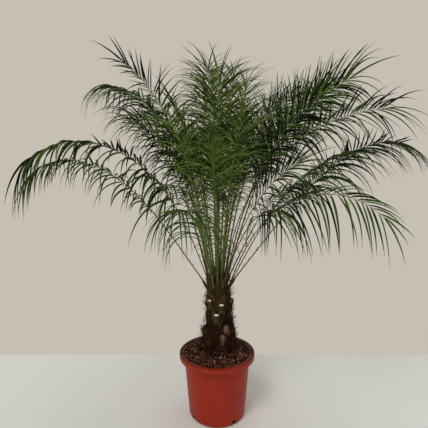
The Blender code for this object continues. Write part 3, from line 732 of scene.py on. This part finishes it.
def make_boots(bark, cut):
    """Stubs of sawn-off fronds: ribbed sides and a pale level cut."""
    soup = Soup()
    for k, (step, top) in enumerate(BOOT_CUTS):
        a0 = math.radians(BOOT_FIRST + SPIRAL * step)
        foot = top - BOOT_LENGTH
        out = np.array([math.cos(a0), math.sin(a0), 0.0])
        side = np.array([-math.sin(a0), math.cos(a0), 0.0])
        outline = [(math.cos(q), math.sin(q)) for q in np.radians(np.arange(16) * 22.5)]
        rings = []
        levels = list(np.linspace(0.0, 1.0, 12)) + [1.0]
        for n, u in enumerate(levels):
            z = foot + BOOT_LENGTH * u
            inner = float(trunk_radius(z)) + 0.0002 + 0.0021 * u
            half = BOOT_WIDTH / 2 * (1.22 - 0.14 * u)
            deep = BOOT_THICK / 2 * (0.45 + 0.55 * min(1.0, u * 1.4))
            shrink = 1.0 if n < len(levels) - 1 else 0.88
            dip = -0.0007 if n == len(levels) - 1 else 0.0
            ring = []
            for cx, cy in outline:
                flat = cy if cy > 0 else cy * 0.55
                rough = 1.0 + 0.05 * noise.noise(Vector((cx * 3.0 + k * 7.0, cy * 3.0, z * 60.0)))
                slope = -0.0026 * cy if n >= len(levels) - 2 else 0.0
                point = np.array([TRUNK_X, 0.0, z + dip + slope]) + out * (inner + deep * (1.0 + flat * rough * shrink)) + side * (half * cx * rough * shrink)
                ring.append(point)
            rings.append(ring)
        rings = np.array(rings)
        # counter-clockwise seen from above: out x side is +Z
        n, kk = rings.shape[:2]
        faces = tube_faces(n, kk)
        soup.add(rings.reshape(-1, 3), faces, 0)
        caps = tube_caps(n, kk)
        soup.add_more(caps[:1], 0)
        soup.add_more(caps[1:], 1)
    obj = soup.build("cut_leaf_bases", [bark, cut], 45.0)
    return piece(obj, "leaf_base", *["leaf_base_%d" % (k + 1) for k in range(len(BOOT_CUTS))])


def make_fibres(mat):
    """Loose brown fibres between the leaf bases and round the feet of the petioles."""
    soup = Soup()
    r = np.random.default_rng(77)
    tufts = [(r.uniform(0.0, 2.0 * math.pi), r.uniform(0.232, 0.372)) for _ in range(46)]
    for k in range(1700):
        if k % 2:
            a, z = tufts[k % len(tufts)]
            a, z = a + r.normal(0.0, 0.07), z + r.normal(0.0, 0.004)
        else:
            a, z = r.uniform(0.0, 2.0 * math.pi), r.uniform(0.226, 0.425)
        rad = float(trunk_radius(min(z, TRUNK_TOP_Z))) + r.uniform(-0.001, 0.005)
        out = np.array([math.cos(a), math.sin(a), 0.0])
        side = np.array([-math.sin(a), math.cos(a), 0.0])
        lean = r.normal(0.0, 0.55)
        stand = r.uniform(-0.05, 0.35) if r.random() < 0.62 else r.uniform(0.5, 1.5)
        along = unit(np.array([0.0, 0.0, 1.0 if r.random() < 0.75 else -1.0]) + side * lean + out * stand)
        long = r.uniform(0.008, 0.026)
        thick = r.uniform(0.0003, 0.0008)
        bend = side * r.normal(0.0, 0.35) + out * r.uniform(-0.35, 0.10)
        point, d = np.array([TRUNK_X, 0.0, z]) + out * rad, along
        rings = []
        for n in range(6):
            s1 = unit(np.cross(d, out + side * 0.3))
            s2 = np.cross(s1, d)
            w = thick * (1.0 - 0.12 * n)
            rings.append([point + (s1 * math.cos(q) + s2 * math.sin(q)) * w for q in (4.1888, 2.0944, 0.0)])
            d = unit(d + bend * 0.2)
            point = point + d * long / 5
        add_tube(soup, rings)
    obj = soup.build("trunk_fibres", [mat], 60.0)
    return piece(obj, "trunk_fibre")


# ---------------------------------------------------------------- soil
def soil_height(r):
    edge = 0.1025
    t = np.clip((edge - r) / (edge - SOIL_FLAT_R), 0.0, 1.0)
    return SOIL_EDGE_Z + (SOIL_TOP_Z - SOIL_EDGE_Z) * (1.0 - np.cos(math.pi * t)) / 2


def make_soil(mat):
    soup = Soup()
    inner = POT_CORNER - POT_WALL
    profile = [(0.0005, POT_FLOOR + 0.0004)]
    for d in (0, 30, 60, 90):
        a = math.radians(d)
        profile.append((POT_BASE_R - POT_CORNER + (inner - 0.0006) * math.sin(a), POT_FLOOR + 0.0004 + inner - inner * math.cos(a)))
    profile.append((0.1020, SOIL_EDGE_Z - 0.001))
    sides = 160
    for r in np.linspace(0.1022, 0.004, 64):
        profile.append((r, float(soil_height(r))))
    rings = np.zeros((len(profile), sides, 3))
    for i, (r, z) in enumerate(profile):
        for j in range(sides):
            a = 2.0 * math.pi * j / sides
            x, y = r * math.cos(a), r * math.sin(a)
            h = 0.0
            if i > 6:
                q = Vector((x, y, 0.0))
                h = noise.noise(q * 60.0) * 0.0026 + noise.noise(q * 190.0) * 0.0022 + noise.noise(q * 420.0) * 0.0010
                h *= min(1.0, (i - 6) / 3.0)
            rings[i, j] = (x, y, z + h)
    add_tube(soup, rings)
    obj = soup.build("potting_soil", [mat], 80.0)
    return piece(obj, "soil", "soil")


def lump_points(r, count=14):
    """Corners of a small irregular crumb, from a squashed and jittered icosahedron."""
    g = (1.0 + 5.0 ** 0.5) / 2.0
    v = np.array([(-1, g, 0), (1, g, 0), (-1, -g, 0), (1, -g, 0), (0, -1, g), (0, 1, g), (0, -1, -g), (0, 1, -g), (g, 0, -1), (g, 0, 1), (-g, 0, -1), (-g, 0, 1)], float)
    v = unit(v) * r.uniform(0.72, 1.15, (12, 1))
    return v


LUMP_FACES = np.array([
    (0, 11, 5), (0, 5, 1), (0, 1, 7), (0, 7, 10), (0, 10, 11), (1, 5, 9), (5, 11, 4), (11, 10, 2), (10, 7, 6), (7, 1, 8),
    (3, 9, 4), (3, 4, 2), (3, 2, 6), (3, 6, 8), (3, 8, 9), (4, 9, 5), (2, 4, 11), (6, 2, 10), (8, 6, 7), (9, 8, 1),
])


def make_crumbs(name, mat, count, sizes, seed, rim=0.0, bank=0.0, flat=0.7):
    soup = Soup()
    r = np.random.default_rng(seed)
    for k in range(count):
        a = r.uniform(0.0, 2.0 * math.pi)
        on_rim = r.random() < rim
        if on_rim:
            # soil spilled on the flat of the collar, most of it at the back
            if math.sin(a) < -0.2 and r.random() < 0.7:
                a = -a
            rad = r.uniform(0.1035, 0.1165)
            z = POT_H
        else:
            rad = 0.1010 * math.sqrt(r.uniform(0.22, 1.0))
            z = float(soil_height(rad))
        x, y = rad * math.cos(a), rad * math.sin(a)
        if not on_rim and r.random() < bank:
            # banked up against the foot of the trunk
            out = r.uniform(0.0535, 0.0680)
            x, y = TRUNK_X + out * math.cos(a), out * math.sin(a)
            z = float(soil_height(math.hypot(x, y))) + max(0.0, 0.0610 - out) * r.uniform(0.2, 2.2)
        elif not on_rim and math.hypot(x - TRUNK_X, y) < 0.053:
            continue
        size = r.uniform(*sizes) * (0.6 if on_rim else 1.0)
        v = lump_points(r) * size * np.array([1.0, r.uniform(0.6, 1.0), flat * r.uniform(0.6, 1.0)])
        t = r.uniform(0.0, 2.0 * math.pi)
        rot = np.array([[math.cos(t), -math.sin(t), 0.0], [math.sin(t), math.cos(t), 0.0], [0.0, 0.0, 1.0]])
        tilt = np.array(Matrix.Rotation(r.normal(0.0, 0.5), 3, "X"))
        v = v @ rot.T @ tilt.T
        if on_rim:
            z = z - v[:, 2].min() - 0.0002
        else:
            z = z + size * 0.15
        soup.add(v + np.array([x, y, z]), LUMP_FACES)
    obj = soup.build(name, [mat], 75.0)
    return piece(obj, "soil")


# ---------------------------------------------------------------- pot
def wall_radius(z):
    return POT_BASE_R + (POT_NECK_R - POT_BASE_R) * (z - POT_CORNER) / (POT_H - POT_SKIRT - POT_CORNER)


def arc(cx, cz, radius, start, stop, count):
    return [(cx + radius * math.cos(math.radians(d)), cz + radius * math.sin(math.radians(d))) for d in np.linspace(start, stop, count)]


def make_pot(mat):
    """A turned thin shell, listed from the middle of the underside, up the outside, over the collar and down inside."""
    sides = 144
    lip = 0.0020
    neck = wall_radius(POT_H - lip)
    profile = [(0.0008, 0.0016), (0.050, 0.0016), (0.0535, 0.0), (POT_BASE_R - POT_CORNER - 0.0005, 0.0)]
    profile += arc(POT_BASE_R - POT_CORNER, POT_CORNER, POT_CORNER, -90.0, 0.0, 12)
    for z in np.linspace(POT_CORNER + 0.006, POT_H - POT_SKIRT - 0.004, 14):
        profile.append((wall_radius(z), z))
    profile += [(neck - 0.0004, POT_H - 0.0060)]
    profile += arc(neck + 0.0016, POT_H - lip - 0.0016, 0.0016, 180.0, 90.0, 4)
    profile += arc(POT_RIM_R - lip - 0.0012, POT_H - lip - 0.0012, 0.0012, 90.0, 0.0, 4)
    profile += [(POT_RIM_R - lip, POT_H - POT_SKIRT + 0.0006)]
    profile += arc(POT_RIM_R - lip / 2, POT_H - POT_SKIRT + 0.0008, lip / 2 - 0.0001, 180.0, 360.0, 7)
    profile += arc(POT_RIM_R - 0.0022, POT_H - 0.0022, 0.0022, 0.0, 90.0, 6)
    profile += arc(neck - POT_WALL + 0.0014, POT_H - 0.0014, 0.0014, 90.0, 180.0, 5)
    for z in np.linspace(POT_H - 0.006, POT_CORNER, 6):
        profile.append((wall_radius(z) - POT_WALL, z))
    inner = POT_CORNER - POT_WALL
    for d in (60, 30, 0):
        a = math.radians(d)
        profile.append((POT_BASE_R - POT_CORNER + inner * math.sin(a), POT_FLOOR + inner - inner * math.cos(a)))
    profile.append((0.0008, POT_FLOOR))
    rings = np.zeros((len(profile), sides, 3))
    for i, (r, z) in enumerate(profile):
        for j in range(sides):
            a = 2.0 * math.pi * j / sides
            # a thin moulding is never quite round
            wave = 0.0005 * math.sin(2.0 * a + 0.7) * min(1.0, z / 0.08) if r > 0.06 else 0.0
            rings[i, j] = ((r + wave) * math.cos(a), (r + wave) * math.sin(a), z)
    soup = Soup()
    add_tube(soup, rings)
    pot = soup.build("nursery_pot", [mat], 32.0)
    cutters = []
    for k in range(SLOT_COUNT):
        a = math.radians(SLOT_FIRST + 360.0 / SLOT_COUNT * k)
        bpy.ops.mesh.primitive_cube_add(size=1.0)
        cutter = bpy.context.object
        cutter.scale = (0.018, SLOT_WIDTH, SLOT_HEIGHT + 0.002)
        bpy.ops.object.transform_apply(location=False, rotation=False, scale=True)
        bevel = cutter.modifiers.new("round", "BEVEL")
        bevel.width, bevel.segments = 0.0022, 3
        cutter.rotation_euler = (0.0, 0.0, a)
        cutter.location = ((POT_BASE_R + 0.001) * math.cos(a), (POT_BASE_R + 0.001) * math.sin(a), (SLOT_HEIGHT + 0.002) / 2 - 0.002)
        cutters.append(cutter)
        cut = pot.modifiers.new("slot", "BOOLEAN")
        cut.operation, cut.object, cut.solver = "DIFFERENCE", cutter, "EXACT"
    bpy.context.view_layer.update()
    done = bpy.data.meshes.new_from_object(pot.evaluated_get(bpy.context.evaluated_depsgraph_get()))
    pot.modifiers.clear()
    pot.data = done
    pot.data.name = "nursery_pot"
    for cutter in cutters:
        bpy.data.objects.remove(cutter, do_unlink=True)
    done.set_sharp_from_angle(angle=math.radians(32.0))
    return piece(pot, "pot_plastic", "pot")


# ---------------------------------------------------------------- floor, light, camera
FLOOR_SIDE, FLOOR_FRONT, FLOOR_BACK = 3.2, 2.6, 0.37


def make_stage():
    mesh = bpy.data.meshes.new("floor")
    mesh.from_pydata([(-FLOOR_SIDE, -FLOOR_FRONT, 0.0), (FLOOR_SIDE, -FLOOR_FRONT, 0.0), (FLOOR_SIDE, FLOOR_BACK, 0.0), (-FLOOR_SIDE, FLOOR_BACK, 0.0)], [], [(0, 1, 2, 3)])
    floor = bpy.data.objects.new("floor", mesh)
    bpy.context.scene.collection.objects.link(floor)
    mat, tree, shader = material("floor_pale", 0.60, specular=0.25)
    tone = noise_node(tree, mapped(tree), 2.2, 3.0, 0.5)
    tree.links.new(ramp(tree, tone, (0.3, (0.90, 0.92, 0.90, 1.0)), (0.7, (0.93, 0.95, 0.93, 1.0))), shader.inputs["Base Color"])
    mesh.materials.append(mat)

    world = bpy.data.worlds.new("studio")
    bpy.context.scene.world = world
    world.use_nodes = True
    back = world.node_tree.nodes["Background"]
    # an even pale wall all round, dimmer overhead where only the lamps shine
    up = world.node_tree.nodes.new("ShaderNodeSeparateXYZ")
    world.node_tree.links.new(world.node_tree.nodes.new("ShaderNodeTexCoord").outputs["Generated"], up.inputs[0])
    overhead = span(world.node_tree, up.outputs[2], 0.50, 0.66)
    world.node_tree.links.new(mix(world.node_tree, overhead, (0.565, 0.521, 0.456, 1.0), (0.20, 0.20, 0.19, 1.0)), back.inputs["Color"])
    back.inputs["Strength"].default_value = 1.0

    def lamp(name, place, target, size, power, colour):
        data = bpy.data.lights.new(name, "AREA")
        data.shape, data.size, data.energy, data.color = "DISK", size, power, colour
        obj = bpy.data.objects.new(name, data)
        bpy.context.scene.collection.objects.link(obj)
        obj.location = place
        obj.rotation_euler = (Vector(target) - Vector(place)).to_track_quat("-Z", "Y").to_euler()

    lamp("key", (-0.9, -1.9, 2.7), (0.0, 0.0, 0.55), 1.3, 38.0, (1.0, 0.98, 0.94))
    lamp("top", (0.5, 0.6, 2.9), (0.0, 0.0, 0.5), 1.6, 20.0, (1.0, 0.99, 0.96))

    data = bpy.data.cameras.new("camera")
    data.sensor_width = 36.0
    data.lens = 33.64
    data.shift_y = -0.0836
    data.clip_start, data.clip_end = 0.05, 30.0
    camera = bpy.data.objects.new("camera", data)
    bpy.context.scene.collection.objects.link(camera)
    camera.location = (-0.010, -1.259, 0.828)
    camera.rotation_euler = (math.radians(90.0 - 3.14), 0.0, 0.0)
    bpy.context.scene.camera = camera
    bpy.context.scene.view_settings.view_transform = "Standard"


def main():
    leaves = make_leaf_materials()
    fibre = make_fibre_material("trunk_fibre", ((0.32, linear(10, 5, 2)), (0.52, linear(40, 23, 12)), (0.74, linear(92, 66, 44))))
    sheath = make_fibre_material("leaf_sheath", ((0.32, linear(26, 18, 9)), (0.52, linear(72, 58, 32)), (0.72, linear(122, 108, 68))), 0.06)
    bleached = make_fibre_material("bleached_stub", ((0.30, linear(70, 44, 36)), (0.55, linear(134, 104, 94)), (0.75, linear(176, 150, 138))), 0.3)
    strands = make_fibre_material("loose_fibre", ((0.30, linear(26, 16, 9)), (0.70, linear(88, 62, 40))))
    bark = make_fibre_material("leaf_base_side", ((0.30, linear(34, 30, 18)), (0.52, linear(70, 62, 40)), (0.74, linear(112, 102, 74))), 0.08)
    cut, tree, shader = material("leaf_base_cut", 0.80)
    tone = noise_node(tree, mapped(tree), 500.0, 3.0, 0.6)
    tree.links.new(ramp(tree, tone, (0.3, linear(232, 222, 196)), (0.7, linear(255, 250, 236))), shader.inputs["Base Color"])

    rib_soup, spine_soup = Soup(), Soup()
    for number in range(1, FROND_COUNT + 1):
        make_frond(number, leaves, rib_soup, spine_soup)
    rib_mats = [
        make_rib_material("rib_green", 0.400, 0.560, (44, 34, 18), (92, 82, 46), (72, 88, 30), (112, 128, 52)),
        make_rib_material("rib_brown", 0.520, 0.950, (46, 28, 18), (84, 62, 42), (62, 68, 34), (98, 100, 60)),
    ]
    piece(rib_soup.build("ribs", rib_mats, 50.0), "frond_green")
    piece(spine_soup.build("petiole_spines", [make_spine_material()], 50.0), "frond_green")

    make_trunk([fibre, sheath, bleached])
    make_boots(bark, cut)
    make_fibres(strands)
    make_soil(make_soil_material("soil_dark", (14, 7, 5), (96, 56, 40)))
    make_crumbs("soil_crumbs_dark", make_soil_material("crumb_dark", (8, 4, 3), (54, 29, 20), 420.0), 1300, (0.0017, 0.0050), 11, rim=0.06, bank=0.25)
    make_crumbs("soil_crumbs_red", make_soil_material("crumb_red_brown", (62, 35, 27), (158, 106, 88), 420.0), 950, (0.0014, 0.0037), 14, rim=0.08, bank=0.25)
    make_crumbs("soil_grit", make_soil_material("grit_pale", (176, 160, 146), (232, 222, 208), 600.0), 80, (0.0015, 0.0029), 12)
    make_crumbs("soil_chips", make_soil_material("chip_mauve", (96, 60, 54), (178, 138, 128), 500.0), 230, (0.0016, 0.0038), 13)
    make_pot(make_plastic())
    make_stage()


main()
